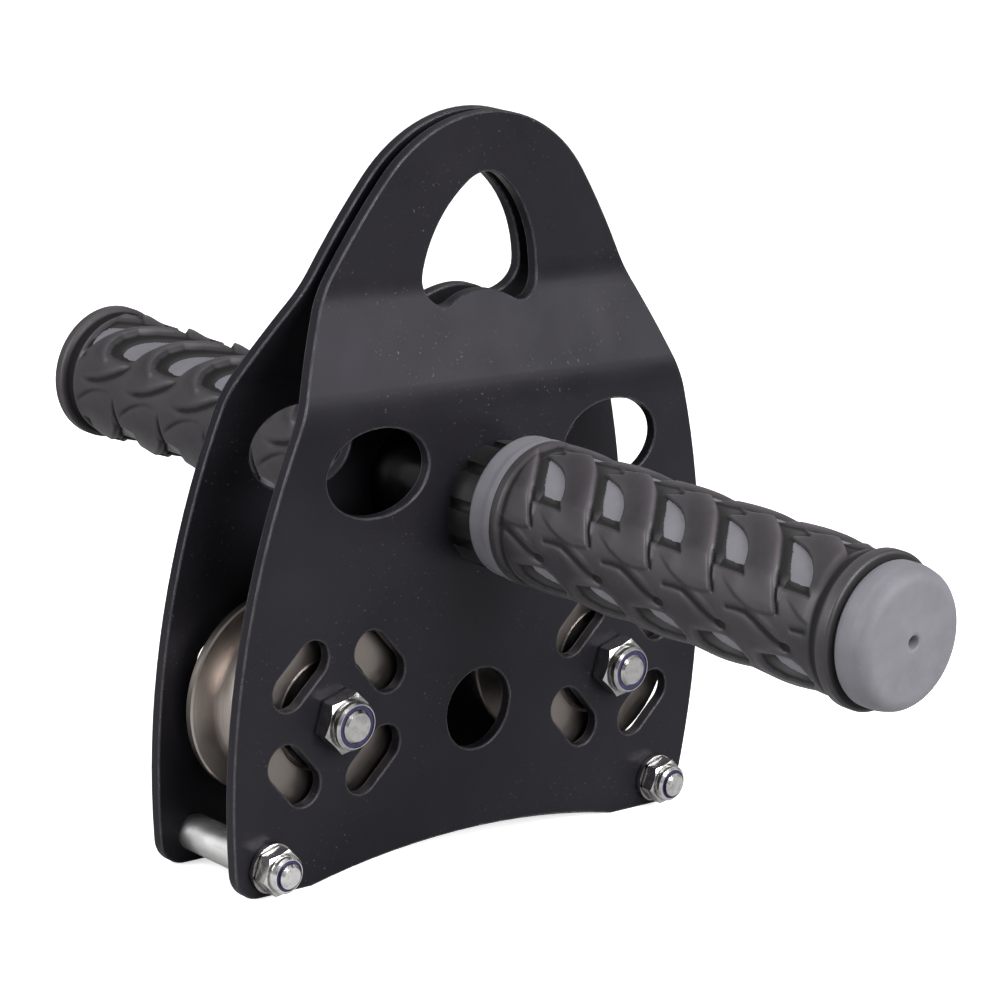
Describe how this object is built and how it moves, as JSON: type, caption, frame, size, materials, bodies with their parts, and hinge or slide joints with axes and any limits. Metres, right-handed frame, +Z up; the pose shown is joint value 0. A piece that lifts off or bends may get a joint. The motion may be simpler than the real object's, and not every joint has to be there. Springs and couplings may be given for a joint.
{
  "type": "zip line trolley",
  "caption": "Zip line trolley: grooved ball-bearing wheels between joggled black steel plates, with a carabiner eye and a cross handlebar with patterned rubber grips.",
  "frame": {"origin": "on the ground, midway between the axles and under the middle of the whole length; the mid-plane between the plates is at y = 3.95 mm, because the front grip's cap stands out further than the rear one's", "axes": "+Z up, with the trolley standing on the wide ends of its plates; +Y along the handlebar, from the nut side (front) to the bolt-head side (rear); +X along the cable, to the right seen from the nut side"},
  "size_m": [0.1504, 0.2832, 0.1787],
  "materials": {
    "plate_paint": "satin black powder coat over steel sheet",
    "wheel_steel": "turned stainless steel",
    "bearing_steel": "ground bearing steel",
    "cage_steel": "pressed steel",
    "seal_rubber": "matt black seal",
    "plated_steel": "bright zinc plating",
    "nylon": "dark blue nylon ring",
    "spacer_alloy": "turned",
    "bar_steel": "drawn tube",
    "lock_ring_plastic": "moulded black plastic",
    "grip_grey_rubber": "soft grey rubber",
    "grip_black_rubber": "soft black rubber"
  },
  "bodies": {
    "frame": {"rear_plate": "plate_paint", "front_plate": "plate_paint", "handle_tube": "bar_steel", "handle_spacer": "spacer_alloy", "rear_lock_ring": "lock_ring_plastic", "front_lock_ring": "lock_ring_plastic", "rear_grip_core": "grip_grey_rubber", "front_grip_core": "grip_grey_rubber", "rear_grip_cover": "grip_black_rubber", "front_grip_cover": "grip_black_rubber", "inner_races": "bearing_steel", "race_spacers": "spacer_alloy", "side_spacers": "spacer_alloy", "axle_sleeves": "bearing_steel", "axle_bolts": "plated_steel", "axle_nuts": "plated_steel", "axle_nut_inserts": "nylon", "axle_washers": "plated_steel", "corner_bolts": "plated_steel", "corner_nuts": "plated_steel", "corner_nut_inserts": "nylon", "corner_washers": "plated_steel", "corner_spacers": "spacer_alloy"},
    "left_wheel_assembly": {"left_wheel": "wheel_steel", "left_outer_races": "bearing_steel", "left_bearing_balls": "bearing_steel", "left_ball_cages": "cage_steel", "left_bearing_seals": "seal_rubber"},
    "right_wheel_assembly": {"right_wheel": "wheel_steel", "right_outer_races": "bearing_steel", "right_bearing_balls": "bearing_steel", "right_ball_cages": "cage_steel", "right_bearing_seals": "seal_rubber"}
  },
  "joints": [
    {"name": "left_wheel_spin", "type": "hinge", "parent": "frame", "child": "left_wheel_assembly", "pos_m": [-0.045, 0.00395, 0.0403], "axis": [0, 1, 0], "continuous": true},
    {"name": "right_wheel_spin", "type": "hinge", "parent": "frame", "child": "right_wheel_assembly", "pos_m": [0.045, 0.00395, 0.0403], "axis": [0, 1, 0], "continuous": true}
  ]
}
